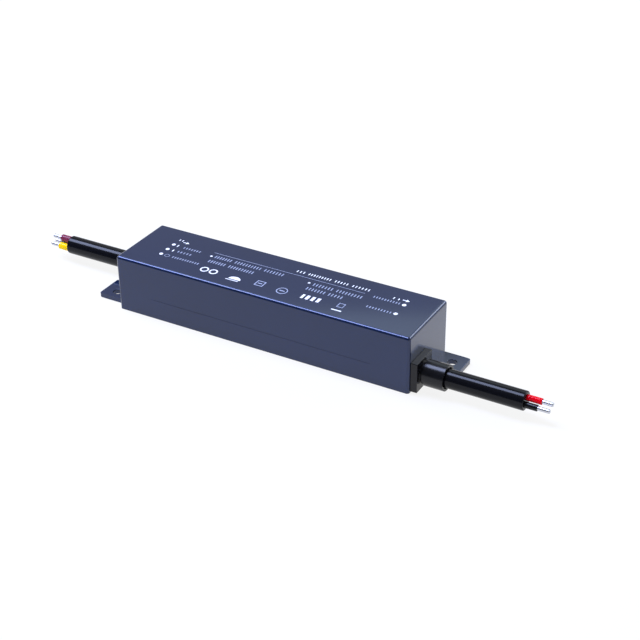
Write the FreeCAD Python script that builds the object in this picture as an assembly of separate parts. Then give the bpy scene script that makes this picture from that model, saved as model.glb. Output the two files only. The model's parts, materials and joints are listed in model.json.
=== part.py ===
import FreeCAD, Part
import math
import os

# Waterproof power supply in a cast metal housing with two cable stubs.
# Millimetres. +X points to the output cable, +Y to the rear, +Z up.
# The origin is the middle of the underside, which rests on the mounting surface.

V = FreeCAD.Vector

# Housing: one casting, open below, with an ear at each end
housing_length = 164.0
housing_width = 40.0
housing_height = 30.0
housing_edge_radius = 1.5
side_wall = 2.0
end_wall = 3.0
top_wall = 2.4
inner_corner_radius = 1.0

# Fine groove along the front wall
groove_end_margin = 20.3
groove_z = 10.7
groove_width = 0.35
groove_depth = 0.25

# Mounting ears: reach past the end face, margin from the nearer long wall
ear_thickness = 2.6
ear_width = 15.5
ear_corner_radius = 1.0
ear_hole_radius = 2.35
output_ear_reach = 14.0
output_ear_margin = 2.0
output_ear_hole_from_end = 6.5
output_ear_hole_from_edge = 7.0
input_ear_reach = 16.2
input_ear_margin = 4.4
input_ear_hole_from_end = 7.7
input_ear_hole_from_edge = 5.1

# Base plate, let flush into a rebate in the housing's rim
base_plate_thickness = 1.2
rebate_rim = 1.0
base_plate_clearance = 0.1

# Base plate screws and the bosses that they enter
screw_radius = 1.25
screw_length = 7.0
screw_head_radius = 2.2
screw_head_height = 1.1
screw_recess_width = 1.5
screw_recess_depth = 0.7
screw_clearance = 0.15
thread_clearance = 0.02
boss_radius = 3.0
boss_height = 8.5
boss_wall_overlap = 0.2
side_boss_from_end = 22.0

# Cable gland: square flange, neck, collar, and a barrel through the end wall
flange_size = 15.5
flange_thickness = 3.4
flange_side_margin = 1.45
flange_bottom_margin = 0.8
neck_radius = 5.5
neck_length = 1.4
collar_radius = 6.4
collar_length = 10.6
collar_chamfer = 0.3
mouth_gap = 0.6
mouth_depth = 1.2
barrel_radius = 6.0
barrel_past_nut = 0.5
wall_hole_clearance = 0.15
cable_clearance = 0.1
seal_radius = 7.15
seal_thickness = 1.0
seal_clearance = 0.05
nut_radius = 7.0
nut_slots = 4
nut_slot_width = 2.0
nut_slot_depth = 0.5
nut_thickness = 3.5
nut_clearance = 0.05
spot_face_clearance = 0.1

# Cables: the stub is measured from the end face to the jacket's cut end
stub_length = 54.0
jacket_past_barrel = 0.5
core_past_jacket = 2.0
core_clearance = 0.02
conductor_radius = 1.05
conductor_past_core = 2.0
conductor_chamfer = 0.2
terminal_width = 1.0
terminal_above_conductor = 0.4

# Output cable with two cores
output_jacket_radius = 4.68
output_core_radius = 1.55
output_core_offset = 1.7
output_core_angle = 50.0
red_core_reach = 7.2
red_tip_reach = 12.5
black_core_reach = 6.0
black_tip_reach = 11.9

# Input cable with three cores
input_jacket_radius = 4.85
input_core_radius = 1.95
input_core_offset = 2.45
input_core_angle = 95.0
input_core_reach = 6.3
input_tip_reach = 11.9
blue_tip_reach = 12.5

# Circuit board, on an insulating sheet and four spacers
board_thickness = 1.6
board_side_clearance = 1.5
board_corner_radius = 1.0
boss_notch_clearance = 0.5
insulation_thickness = 0.4
spacer_height = 1.0
spacer_radius = 1.8
spacer_from_end = 5.0
spacer_outer_from_side = 6.5
spacer_inner_from_middle = 1.0
pin_width = 0.6
pin_tail = 0.5
component_gap = 2.0
component_edge_gap = 1.0

# Transformer, the anchor of the layout
transformer_middle_x = 12.5
transformer_length = 25.0
transformer_height = 17.0
transformer_core_depth = 7.0
transformer_centre_leg = 7.0
transformer_outer_leg = 3.4
transformer_yoke = 3.4
bobbin_depth = 21.0
bobbin_wall = 0.8
bobbin_flange = 1.0
bobbin_rail = 2.6
bobbin_fit = 0.1
winding_inset = 0.8
bobbin_pin_pitch = 5.0

# Input side
bulk_capacitor_radius = 8.0
bulk_capacitor_length = 26.0
bulk_capacitor_lead_pitch = 7.5
choke_radius = 8.0
choke_bore_radius = 4.2
choke_height = 7.0
choke_winding_thickness = 1.0
choke_winding_angle = 120.0
filter_capacitor_length = 7.0
filter_capacitor_depth = 16.0
filter_capacitor_height = 12.0
bridge_length = 14.5
bridge_depth = 4.0
bridge_height = 10.0
varistor_radius = 4.5
varistor_thickness = 3.5
fuse_length = 8.5
fuse_depth = 4.0
fuse_height = 8.0
component_lift = 1.0

# Power transistor and rectifier, cooled by the front wall
device_width = 10.0
device_body_height = 9.0
device_body_depth = 3.2
device_tab_height = 15.5
device_tab_thickness = 1.3
device_hole_radius = 1.8
device_leg_pitch = 2.54
device_lift = 3.0
thermal_pad_thickness = 0.5

# Control and output side
chip_length = 5.0
chip_depth = 4.0
chip_height = 1.5
chip_lead_width = 0.4
chip_lead_reach = 1.0
chip_lead_thickness = 0.25
chip_lead_pitch = 1.27
optocoupler_length = 4.6
optocoupler_depth = 6.5
optocoupler_height = 3.5
safety_capacitor_radius = 3.5
safety_capacitor_thickness = 3.0
output_capacitor_radius = 5.0
output_capacitor_height = 16.0
inductor_radius = 5.5
inductor_height = 12.0
inductor_flange = 1.8
inductor_waist_radius = 2.5
inductor_winding_gap = 0.3

# Sizes that follow from those above
half_length = housing_length / 2
half_width = housing_width / 2
cavity_half_length = half_length - end_wall
cavity_half_width = half_width - side_wall
cavity_top = housing_height - top_wall
gland_y = half_width - flange_side_margin - flange_size / 2
gland_z = flange_bottom_margin + flange_size / 2
collar_start = flange_thickness + neck_length
collar_end = collar_start + collar_length
barrel_length = end_wall + nut_thickness + barrel_past_nut
jacket_start = -barrel_length - jacket_past_barrel
core_start = jacket_start - core_past_jacket
conductor_start = core_start - conductor_past_core
insulation_top = base_plate_thickness + insulation_thickness
board_bottom = insulation_top + spacer_height
board_top = board_bottom + board_thickness
board_half_length = half_length + core_start
board_half_width = cavity_half_width - board_side_clearance
pin_bottom = board_bottom - pin_tail
corner_boss = (
    cavity_half_length - boss_radius + boss_wall_overlap,
    cavity_half_width - boss_radius + boss_wall_overlap,
)
side_boss = (half_length - side_boss_from_end, -corner_boss[1])
boss_places = [
    corner_boss,
    side_boss,
    (-corner_boss[0], -corner_boss[1]),
    (-side_boss[0], -side_boss[1]),
]
output_ear_end = half_length + output_ear_reach
output_ear_edge = half_width - output_ear_margin
input_ear_end = half_length + input_ear_reach
input_ear_edge = half_width - input_ear_margin


def block(x_span, y_span, z_span):
    """A box between three pairs of limits."""
    low = V(x_span[0], y_span[0], z_span[0])
    size = [high - start for start, high in (x_span, y_span, z_span)]
    return Part.makeBox(size[0], size[1], size[2], low)


def post(x, y, z_low, z_high, radius):
    """A cylinder that stands on z_low."""
    return Part.makeCylinder(radius, z_high - z_low, V(x, y, z_low))


def bar(x_low, x_high, y, z, radius):
    """A cylinder that lies along X."""
    return Part.makeCylinder(radius, x_high - x_low, V(x_low, y, z), V(1, 0, 0))


def upright_edges(shape):
    """The straight edges of a shape that run along Z."""
    found = []
    for edge in shape.Edges:
        ends = [vertex.Point for vertex in edge.Vertexes]
        if len(ends) == 2 and (ends[1] - ends[0]).cross(V(0, 0, 1)).Length < 1e-6:
            found.append(edge)
    return found


def edges_at_height(shape, z):
    """The edges of a shape that lie level at one height."""
    return [
        edge
        for edge in shape.Edges
        if abs(edge.BoundBox.ZMin - z) < 1e-6 and abs(edge.BoundBox.ZMax - z) < 1e-6
    ]


def plate(x_span, y_span, z_span, corner_radius):
    """A flat plate with its four upright corners rounded."""
    blank = block(x_span, y_span, z_span)
    return blank.makeFillet(corner_radius, upright_edges(blank))


def turned(outline, about_z=False, angle=360.0):
    """A solid of revolution: (distance along the axis, radius) points about X or Z."""
    if about_z:
        points = [V(radius, 0, along) for along, radius in outline]
        axis = V(0, 0, 1)
    else:
        points = [V(along, radius, 0) for along, radius in outline]
        axis = V(1, 0, 0)
    face = Part.Face(Part.makePolygon(points + points[:1]))
    return face.revolve(V(0, 0, 0), axis, angle)


def moved(shape, x, y, z):
    """A copy of a shape, shifted."""
    copy = shape.copy()
    copy.translate(V(x, y, z))
    return copy


def half_turn(shape):
    """A copy of a shape, turned half a turn about the Z axis."""
    copy = shape.copy()
    copy.rotate(V(0, 0, 0), V(0, 0, 1), 180)
    return copy


def pin(x, y, z_top):
    """A square pin from z_top through the board."""
    half = pin_width / 2
    return block((x - half, x + half), (y - half, y + half), (pin_bottom, z_top))


def with_pins(body, places, z_top):
    """A component's body joined to its pins."""
    return body.fuse([pin(x, y, z_top) for x, y in places]).removeSplitter()


# Housing, base plate and screws
def make_cavity():
    """The room inside the housing, above the base plate, with a spot face for each lock nut."""
    blank = block(
        (-cavity_half_length, cavity_half_length),
        (-cavity_half_width, cavity_half_width),
        (base_plate_thickness, cavity_top),
    )
    edges = upright_edges(blank) + edges_at_height(blank, cavity_top)
    body = blank.makeFillet(inner_corner_radius, edges)
    spot_face = bar(
        cavity_half_length - nut_thickness,
        cavity_half_length,
        -gland_y,
        gland_z,
        nut_radius + spot_face_clearance,
    )
    return body.fuse([spot_face, half_turn(spot_face)]).removeSplitter()


def make_ear(end, edge, reach, hole_from_end, hole_from_edge):
    """The ear at the output end, with its screw hole; edge is its outer long side."""
    body = plate(
        (end - reach - end_wall / 2, end),
        (edge - ear_width, edge),
        (0, ear_thickness),
        ear_corner_radius,
    )
    hole = post(end - hole_from_end, edge - hole_from_edge, 0, ear_thickness, ear_hole_radius)
    return body.cut(hole)


def make_housing():
    blank = block(
        (-half_length, half_length), (-half_width, half_width), (0, housing_height)
    )
    edges = upright_edges(blank) + edges_at_height(blank, housing_height)
    body = blank.makeFillet(housing_edge_radius, edges)
    output_ear = make_ear(
        output_ear_end,
        output_ear_edge,
        output_ear_reach,
        output_ear_hole_from_end,
        output_ear_hole_from_edge,
    )
    input_ear = make_ear(
        input_ear_end,
        input_ear_edge,
        input_ear_reach,
        input_ear_hole_from_end,
        input_ear_hole_from_edge,
    )
    body = body.fuse([output_ear, half_turn(input_ear)])
    rebate = plate(
        (rebate_rim - half_length, half_length - rebate_rim),
        (rebate_rim - half_width, half_width - rebate_rim),
        (0, base_plate_thickness),
        inner_corner_radius,
    )
    groove = block(
        (groove_end_margin - half_length, half_length - groove_end_margin),
        (-half_width, groove_depth - half_width),
        (groove_z - groove_width / 2, groove_z + groove_width / 2),
    )
    hole_radius = barrel_radius + wall_hole_clearance
    output_hole = bar(half_length - end_wall, half_length, -gland_y, gland_z, hole_radius)
    body = body.cut([make_cavity(), rebate, groove, output_hole, half_turn(output_hole)])
    bosses = [
        post(x, y, base_plate_thickness, boss_height, boss_radius) for x, y in boss_places
    ]
    body = body.fuse(bosses)
    tapped_holes = [
        post(x, y, base_plate_thickness, screw_length, screw_radius + thread_clearance)
        for x, y in boss_places
    ]
    return body.cut(tapped_holes).removeSplitter()


def make_base_plate():
    margin = rebate_rim + base_plate_clearance
    body = plate(
        (margin - half_length, half_length - margin),
        (margin - half_width, half_width - margin),
        (0, base_plate_thickness),
        inner_corner_radius,
    )
    for x, y in boss_places:
        countersink = Part.makeCone(
            screw_head_radius + screw_clearance,
            screw_radius + screw_clearance,
            screw_head_height,
            V(x, y, 0),
        )
        hole = post(x, y, 0, base_plate_thickness, screw_radius + screw_clearance)
        body = body.cut([countersink, hole])
    return body


def make_screw(x, y):
    head = Part.makeCone(screw_head_radius, screw_radius, screw_head_height, V(x, y, 0))
    shank = post(x, y, 0, screw_length, screw_radius)
    half = screw_recess_width / 2
    thin = screw_recess_width / 6
    recess = [
        block((x - half, x + half), (y - thin, y + thin), (0, screw_recess_depth)),
        block((x - thin, x + thin), (y - half, y + half), (0, screw_recess_depth)),
    ]
    return head.fuse(shank).cut(recess)


# Glands, built on the X axis with the housing's end face at x = 0
def to_output_end(shape):
    """Moves a shape from the X axis to the output gland's axis."""
    return moved(shape, half_length, -gland_y, gland_z)


def make_gland(jacket_radius):
    bore = jacket_radius + cable_clearance
    mouth = jacket_radius + mouth_gap
    body = turned([
        (-barrel_length, bore),
        (-barrel_length, barrel_radius),
        (flange_thickness, barrel_radius),
        (flange_thickness, neck_radius),
        (collar_start, neck_radius),
        (collar_start, collar_radius),
        (collar_end - collar_chamfer, collar_radius),
        (collar_end, collar_radius - collar_chamfer),
        (collar_end, mouth),
        (collar_end - mouth_depth, mouth),
        (collar_end - mouth_depth, bore),
    ])
    half = flange_size / 2
    flange = block((0, flange_thickness), (-half, half), (-half, half))
    flange = flange.cut(bar(0, flange_thickness, 0, 0, barrel_radius))
    flange = flange.cut(bar(0, seal_thickness, 0, 0, seal_radius + seal_clearance))
    return body.fuse(flange).removeSplitter()


def make_seal_ring():
    ring = bar(0, seal_thickness, 0, 0, seal_radius)
    return ring.cut(bar(0, seal_thickness, 0, 0, barrel_radius + seal_clearance))


def make_lock_nut():
    """A round nut, slotted for a pin spanner, that bears on the end wall's inside."""
    body = bar(0, nut_thickness, 0, 0, nut_radius)
    body = body.cut(bar(0, nut_thickness, 0, 0, barrel_radius + nut_clearance))
    half = nut_slot_width / 2
    floor = nut_radius - nut_slot_depth
    for step in range(nut_slots):
        slot = block((0, nut_thickness), (-half, half), (floor, nut_radius))
        slot.rotate(V(0, 0, 0), V(1, 0, 0), 360 / nut_slots * (step + 0.5))
        body = body.cut(slot)
    return moved(body, -end_wall - nut_thickness, 0, 0)


# Cables, built on the same axis as the glands
def core_place(offset, angle):
    """Where a core's axis crosses the cable's section."""
    turn = math.radians(angle)
    return offset * math.cos(turn), offset * math.sin(turn)


def make_jacket(radius, core_radius, offset, angles):
    body = bar(jacket_start, stub_length, 0, 0, radius)
    for angle in angles:
        y, z = core_place(offset, angle)
        body = body.cut(bar(jacket_start, stub_length, y, z, core_radius + core_clearance))
    return body


def make_core(offset, angle, radius, reach):
    """A core's insulation, with a bore for its conductor."""
    y, z = core_place(offset, angle)
    end = stub_length + reach
    bore = bar(core_start, end, y, z, conductor_radius + core_clearance)
    return bar(core_start, end, y, z, radius).cut(bore)


def make_conductor(offset, angle, reach):
    """A tinned conductor, soldered at its inner end to an upright terminal on the board."""
    y, z = core_place(offset, angle)
    end = stub_length + reach
    body = bar(conductor_start, end, y, z, conductor_radius)
    end_edges = [edge for edge in body.Edges if edge.BoundBox.XMin > end - 1e-6]
    body = body.makeChamfer(conductor_chamfer, end_edges)
    half = terminal_width / 2
    terminal = block(
        (conductor_start - half, conductor_start + half),
        (y - half, y + half),
        (pin_bottom - gland_z, z + conductor_radius + terminal_above_conductor),
    )
    return body.fuse(terminal).removeSplitter()


# Circuit board and what carries it
def board_outline(z_low, z_high):
    """The board's outline, notched round the two bosses at its sides."""
    body = plate(
        (-board_half_length, board_half_length),
        (-board_half_width, board_half_width),
        (z_low, z_high),
        board_corner_radius,
    )
    reach = boss_radius + boss_notch_clearance
    x, y = side_boss
    notch = block((x - reach, x + reach), (y - reach, y), (z_low, z_high))
    notch = notch.fuse(post(x, y, z_low, z_high, reach))
    return body.cut([notch, half_turn(notch)])


def make_spacers():
    x = board_half_length - spacer_from_end
    outer = (x, board_half_width - spacer_outer_from_side)
    inner = (x, -spacer_inner_from_middle)
    spacers = []
    for place in (outer, inner):
        spacer = post(place[0], place[1], insulation_top, board_bottom, spacer_radius)
        spacers.append(spacer)
        spacers.append(half_turn(spacer))
    return Part.makeCompound(spacers)


# Components that stand on the board
def make_transformer_core(x):
    half = transformer_length / 2
    deep = transformer_core_depth / 2
    top = board_top + transformer_height
    body = block((x - half, x + half), (-deep, deep), (board_top, top))
    for side in (-1, 1):
        inner = x + side * transformer_centre_leg / 2
        outer = x + side * (half - transformer_outer_leg)
        window = block(
            (min(inner, outer), max(inner, outer)),
            (-deep, deep),
            (board_top + transformer_yoke, top - transformer_yoke),
        )
        body = body.cut(window)
    return body


def make_transformer_coil(x):
    """The bobbin round the centre leg, and the winding between its flanges."""
    low = board_top + transformer_yoke
    high = board_top + transformer_height - transformer_yoke
    leg = transformer_centre_leg / 2 + bobbin_fit
    deep_leg = transformer_core_depth / 2 + bobbin_fit
    wide = transformer_length / 2 - transformer_outer_leg - bobbin_fit
    deep = bobbin_depth / 2
    barrel_x = leg + bobbin_wall
    barrel_y = deep_leg + bobbin_wall
    barrel = block((-barrel_x, barrel_x), (-barrel_y, barrel_y), (low, high))
    bobbin = barrel
    for z in (low, high - bobbin_flange):
        bobbin = bobbin.fuse(block((-wide, wide), (-deep, deep), (z, z + bobbin_flange)))
    bobbin = bobbin.cut(block((-leg, leg), (-deep_leg, deep_leg), (low, high)))
    pins = []
    for side in (-1, 1):
        y_pair = sorted((side * deep, side * (deep - bobbin_rail)))
        bobbin = bobbin.fuse(block((-wide, wide), y_pair, (board_top, low)))
        y = side * (deep - bobbin_rail / 2)
        pins += [(step * bobbin_pin_pitch, y) for step in (-1, 0, 1)]
    bobbin = with_pins(bobbin, pins, board_top)
    coil = plate(
        (winding_inset - wide, wide - winding_inset),
        (winding_inset - deep, deep - winding_inset),
        (low + bobbin_flange, high - bobbin_flange),
        wide / 2,
    )
    winding = coil.cut(barrel)
    return moved(bobbin, x, 0, 0), moved(winding, x, 0, 0)


def make_choke(x, y):
    """A ring core lying on the board, and the two windings on it."""
    low = board_top + choke_winding_thickness
    high = low + choke_height
    inner = choke_bore_radius
    ring = [(low, inner), (low, choke_radius), (high, choke_radius), (high, inner)]
    core = turned(ring, about_z=True)
    skin = choke_winding_thickness
    wrap = [
        (low - skin, inner - skin),
        (low - skin, choke_radius + skin),
        (high + skin, choke_radius + skin),
        (high + skin, inner - skin),
    ]
    sector = turned(wrap, about_z=True, angle=choke_winding_angle).cut(core)
    windings = []
    for start in (90 - choke_winding_angle / 2, 270 - choke_winding_angle / 2):
        winding = sector.copy()
        winding.rotate(V(0, 0, 0), V(0, 0, 1), start)
        middle = math.radians(start + choke_winding_angle / 2)
        pins = []
        for turn in (-choke_winding_angle / 3, choke_winding_angle / 3):
            angle = middle + math.radians(turn)
            pins.append((choke_radius * math.cos(angle), choke_radius * math.sin(angle)))
        windings.append(with_pins(winding, pins, board_top))
    return moved(core, x, y, 0), moved(Part.makeCompound(windings), x, y, 0)


def make_bulk_capacitor(x_end, y):
    """A capacitor lying on the board, its leads bent down at its input end."""
    z = board_top + bulk_capacitor_radius
    body = bar(x_end, x_end + bulk_capacitor_length, y, z, bulk_capacitor_radius)
    half = pin_width / 2
    for side in (-1, 1):
        lead_y = y + side * bulk_capacitor_lead_pitch / 2
        across = (lead_y - half, lead_y + half)
        lead = block((x_end - pin_width * 2, x_end), across, (z - half, z + half))
        body = body.fuse([lead, pin(x_end - pin_width * 1.5, lead_y, z - half)])
    return body.removeSplitter()


def make_standing_capacitor(x, y):
    top = board_top + output_capacitor_height
    body = post(x, y, board_top, top, output_capacitor_radius)
    quarter = output_capacitor_radius / 2
    return with_pins(body, [(x, y - quarter), (x, y + quarter)], board_top)


def make_box_component(x, y, size, lift, places):
    """A moulded block on pins; places are the pins relative to its middle."""
    half_x = size[0] / 2
    half_y = size[1] / 2
    low = board_top + lift
    body = block(
        (x - half_x, x + half_x), (y - half_y, y + half_y), (low, low + size[2])
    )
    return with_pins(body, [(x + dx, y + dy) for dx, dy in places], low)


def make_disc_component(x, y, radius, thickness):
    """A coated disc standing on two pins, with its faces to the front and rear."""
    z = board_top + component_lift + radius
    body = Part.makeCylinder(radius, thickness, V(x, y - thickness / 2, z), V(0, 1, 0))
    return with_pins(body, [(x - radius / 2, y), (x + radius / 2, y)], z)


def make_power_device(x):
    """A transistor outline with its tab towards the front wall, and its thermal pad."""
    half = device_width / 2
    y_wall = -cavity_half_width
    y_tab = y_wall + thermal_pad_thickness
    y_body = y_tab + device_tab_thickness
    y_back = y_body + device_body_depth
    low = board_top + device_lift
    across = (x - half, x + half)
    pad = block(across, (y_wall, y_tab), (low, low + device_tab_height))
    tab = block(across, (y_tab, y_body), (low, low + device_tab_height))
    hole_z = low + (device_body_height + device_tab_height) / 2
    hole = Part.makeCylinder(
        device_hole_radius, device_tab_thickness, V(x, y_tab, hole_z), V(0, 1, 0)
    )
    body = block(across, (y_body, y_back), (low, low + device_body_height))
    legs = [(x + step * device_leg_pitch, y_back - pin_width) for step in (-1, 0, 1)]
    return with_pins(tab.cut(hole).fuse(body), legs, low), pad


def make_chip(x, y):
    """A small flat chip with four leads along each long side."""
    half_y = chip_depth / 2
    body = block(
        (x - chip_length / 2, x + chip_length / 2),
        (y - half_y, y + half_y),
        (board_top + chip_lead_thickness, board_top + chip_height),
    )
    leads = []
    for step in range(4):
        lead_x = x + (step - 1.5) * chip_lead_pitch
        leads.append(block(
            (lead_x - chip_lead_width / 2, lead_x + chip_lead_width / 2),
            (y - half_y - chip_lead_reach, y + half_y + chip_lead_reach),
            (board_top, board_top + chip_lead_thickness),
        ))
    return body.fuse(leads)


def make_inductor(x, y):
    """A drum core standing on the board, and the winding in its waist."""
    low = inductor_flange
    high = inductor_height - inductor_flange
    drum = turned([
        (0, 0),
        (0, inductor_radius),
        (low, inductor_radius),
        (low, inductor_waist_radius),
        (high, inductor_waist_radius),
        (high, inductor_radius),
        (inductor_height, inductor_radius),
        (inductor_height, 0),
    ], about_z=True)
    core = moved(drum, x, y, board_top)
    outer = inductor_radius - inductor_winding_gap
    winding = post(x, y, board_top + low, board_top + high, outer)
    waist = post(x, y, board_top + low, board_top + high, inductor_waist_radius)
    reach = inductor_waist_radius
    core = with_pins(core, [(x - reach, y), (x + reach, y)], board_top)
    return core, winding.cut(waist)


def make_components():
    """Every component in its place, laid out from the transformer to both ends."""
    parts = {}
    left = transformer_middle_x - transformer_length / 2 - component_gap
    right = transformer_middle_x + transformer_length / 2 + component_gap
    parts["transformer_core"] = make_transformer_core(transformer_middle_x)
    bobbin, winding = make_transformer_coil(transformer_middle_x)
    parts["transformer_bobbin"] = bobbin
    parts["transformer_winding"] = winding

    # Rear row, towards the input: bulk capacitor, choke, filter capacitor
    rear = board_half_width - component_edge_gap
    x = left - bulk_capacitor_length
    y = rear - bulk_capacitor_radius
    parts["bulk_capacitor"] = make_bulk_capacitor(x, y)
    choke_outer = choke_radius + choke_winding_thickness
    x -= component_gap + choke_outer
    choke_y = rear - choke_outer
    parts["choke_core"], parts["choke_windings"] = make_choke(x, choke_y)
    x -= choke_outer + component_gap + filter_capacitor_length / 2
    size = (filter_capacitor_length, filter_capacitor_depth, filter_capacitor_height)
    pin_y = filter_capacitor_depth / 2 - component_edge_gap
    places = [(0, -pin_y), (0, pin_y)]
    parts["filter_capacitor"] = make_box_component(x, 0, size, 0, places)

    # Front row, towards the input: transistor, bridge rectifier, varistor, fuse
    front = component_edge_gap - board_half_width
    x = left - device_width / 2
    device, pad = make_power_device(x)
    parts["switching_transistor"] = device
    parts["transistor_thermal_pad"] = pad
    x -= device_width / 2 + component_gap + bridge_length / 2
    size = (bridge_length, bridge_depth, bridge_height)
    step = (bridge_length - component_gap) / 3
    places = [((index - 1.5) * step, 0) for index in range(4)]
    y = front + bridge_depth / 2
    parts["bridge_rectifier"] = make_box_component(x, y, size, component_lift, places)
    x -= bridge_length / 2 + component_gap + varistor_radius
    y = front + varistor_thickness / 2
    parts["surge_varistor"] = make_disc_component(x, y, varistor_radius, varistor_thickness)
    x -= varistor_radius + component_gap + fuse_length / 2
    size = (fuse_length, fuse_depth, fuse_height)
    places = [(-fuse_length / 4, 0), (fuse_length / 4, 0)]
    y = front + fuse_depth / 2
    parts["input_fuse"] = make_box_component(x, y, size, 0, places)

    # Rear row, towards the output: two capacitors
    y = rear - output_capacitor_radius
    x = right + output_capacitor_radius
    for number in (1, 2):
        parts["output_capacitor_%d" % number] = make_standing_capacitor(x, y)
        x += 2 * output_capacitor_radius + component_gap

    # Front row, towards the output: rectifier, inductor
    x = right + device_width / 2
    device, pad = make_power_device(x)
    parts["output_rectifier"] = device
    parts["rectifier_thermal_pad"] = pad
    x += device_width / 2 + component_gap + inductor_radius
    core, winding = make_inductor(x, -inductor_radius - component_gap)
    parts["inductor_core"] = core
    parts["inductor_winding"] = winding

    # Between the rows: safety capacitor, optocoupler, controller chip
    x = right + safety_capacitor_radius
    y = component_gap
    parts["safety_capacitor"] = make_disc_component(
        x, y, safety_capacitor_radius, safety_capacitor_thickness
    )
    x = right + device_width + 2 * (component_gap + inductor_radius) + optocoupler_length / 2
    size = (optocoupler_length, optocoupler_depth, optocoupler_height)
    pin_x = chip_lead_pitch
    pin_y = optocoupler_depth / 2 - pin_width / 2
    places = [(-pin_x, -pin_y), (pin_x, -pin_y), (-pin_x, pin_y), (pin_x, pin_y)]
    parts["optocoupler"] = make_box_component(x, 0, size, 0, places)
    y = (front + bridge_depth + rear - 2 * bulk_capacitor_radius) / 2
    parts["controller_chip"] = make_chip(left - bulk_capacitor_length / 2, y)
    return parts


def make_pieces():
    """Every piece of the power supply, by its name."""
    pieces = {}
    pieces["housing"] = make_housing()
    pieces["base_plate"] = make_base_plate()
    pieces["base_plate_screws"] = Part.makeCompound([make_screw(x, y) for x, y in boss_places])
    pieces["insulation_sheet"] = board_outline(base_plate_thickness, insulation_top)
    pieces["board_spacers"] = make_spacers()

    red = output_core_angle
    black = output_core_angle + 180
    jacket = make_jacket(
        output_jacket_radius, output_core_radius, output_core_offset, (red, black)
    )
    output_end = {
        "output_gland": make_gland(output_jacket_radius),
        "output_seal_ring": make_seal_ring(),
        "output_lock_nut": make_lock_nut(),
        "output_cable_jacket": jacket,
    }
    cores = (
        ("red", red, red_core_reach, red_tip_reach),
        ("black", black, black_core_reach, black_tip_reach),
    )
    for colour, angle, core_reach, tip_reach in cores:
        core = make_core(output_core_offset, angle, output_core_radius, core_reach)
        conductor = make_conductor(output_core_offset, angle, tip_reach)
        output_end["output_core_" + colour] = core
        output_end["output_conductor_" + colour] = conductor
    for name, shape in output_end.items():
        pieces[name] = to_output_end(shape)

    brown = input_core_angle
    blue = input_core_angle + 120
    yellow = input_core_angle + 240
    jacket = make_jacket(
        input_jacket_radius, input_core_radius, input_core_offset, (brown, blue, yellow)
    )
    input_end = {
        "input_gland": make_gland(input_jacket_radius),
        "input_seal_ring": make_seal_ring(),
        "input_lock_nut": make_lock_nut(),
        "input_cable_jacket": jacket,
    }
    cores = (
        ("brown", brown, input_tip_reach),
        ("blue", blue, blue_tip_reach),
        ("yellow", yellow, input_tip_reach),
    )
    for colour, angle, tip_reach in cores:
        core = make_core(input_core_offset, angle, input_core_radius, input_core_reach)
        conductor = make_conductor(input_core_offset, angle, tip_reach)
        input_end["input_core_" + colour] = core
        input_end["input_conductor_" + colour] = conductor
    for name, shape in input_end.items():
        pieces[name] = half_turn(to_output_end(shape))

    components = make_components()
    board = board_outline(board_bottom, board_top)
    conductors = [shape for name, shape in pieces.items() if "conductor" in name]
    pieces["circuit_board"] = board.cut(list(components.values()) + conductors)
    pieces.update(components)

    # The compound fills what the other pieces leave free inside the housing
    inside = [shape for name, shape in pieces.items() if name != "base_plate"]
    filling = make_cavity().cut(inside)
    pieces["potting_compound"] = max(filling.Solids, key=lambda solid: solid.Volume)
    return pieces


os.makedirs("parts", exist_ok=True)
for piece_name, piece in make_pieces().items():
    piece.exportStep(os.path.join("parts", piece_name + ".step"))
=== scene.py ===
import json
import math

import bmesh
import bpy
from mathutils import Matrix, Vector


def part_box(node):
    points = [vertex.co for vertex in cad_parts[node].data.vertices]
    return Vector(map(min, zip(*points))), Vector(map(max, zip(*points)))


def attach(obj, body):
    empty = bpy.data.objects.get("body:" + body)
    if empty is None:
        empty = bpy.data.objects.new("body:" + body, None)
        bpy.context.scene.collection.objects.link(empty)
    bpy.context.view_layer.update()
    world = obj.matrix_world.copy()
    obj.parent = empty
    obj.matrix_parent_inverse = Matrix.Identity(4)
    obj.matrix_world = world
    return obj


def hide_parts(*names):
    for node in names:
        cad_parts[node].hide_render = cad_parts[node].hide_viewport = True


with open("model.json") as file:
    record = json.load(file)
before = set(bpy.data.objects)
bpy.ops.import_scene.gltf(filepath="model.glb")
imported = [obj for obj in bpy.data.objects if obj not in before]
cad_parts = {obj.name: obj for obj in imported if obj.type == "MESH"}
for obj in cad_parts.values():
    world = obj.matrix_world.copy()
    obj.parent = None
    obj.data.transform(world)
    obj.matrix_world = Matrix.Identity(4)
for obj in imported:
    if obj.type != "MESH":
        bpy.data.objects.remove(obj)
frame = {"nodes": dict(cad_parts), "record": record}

bl_info = {
    "name": "Waterproof power supply",
    "version": (1, 0, 0),
    "blender": (4, 5, 0),
    "location": "View3D > Sidebar > Power supply",
    "description": "Dresses the CAD model of a sealed power supply and sets its stage",
    "category": "Object",
}

NODES = frame["nodes"]
SLOTS = {part["node"]: part["material_slot"] for part in frame["record"]["subparts"]}
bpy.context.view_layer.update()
MM = 0.001
# Points round a full circle of an outline
RING = 96
CORES = {"output": ("red", "black"), "input": ("brown", "blue", "yellow")}
# Half the thickness of every conductor, in millimetres
CONDUCTOR_RADIUS = 1.05

# What a finish's pattern is where its own settings say nothing: stretch along X, Y and Z,
# width of the drift of tone in millimetres, and shares of tone and gloss that vary
PLAIN_PATTERN = {
    "stretch": (1, 1, 1), "patch_mm": 12.0, "vary": 0.08, "rough_vary": 0.05,
}

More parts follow.
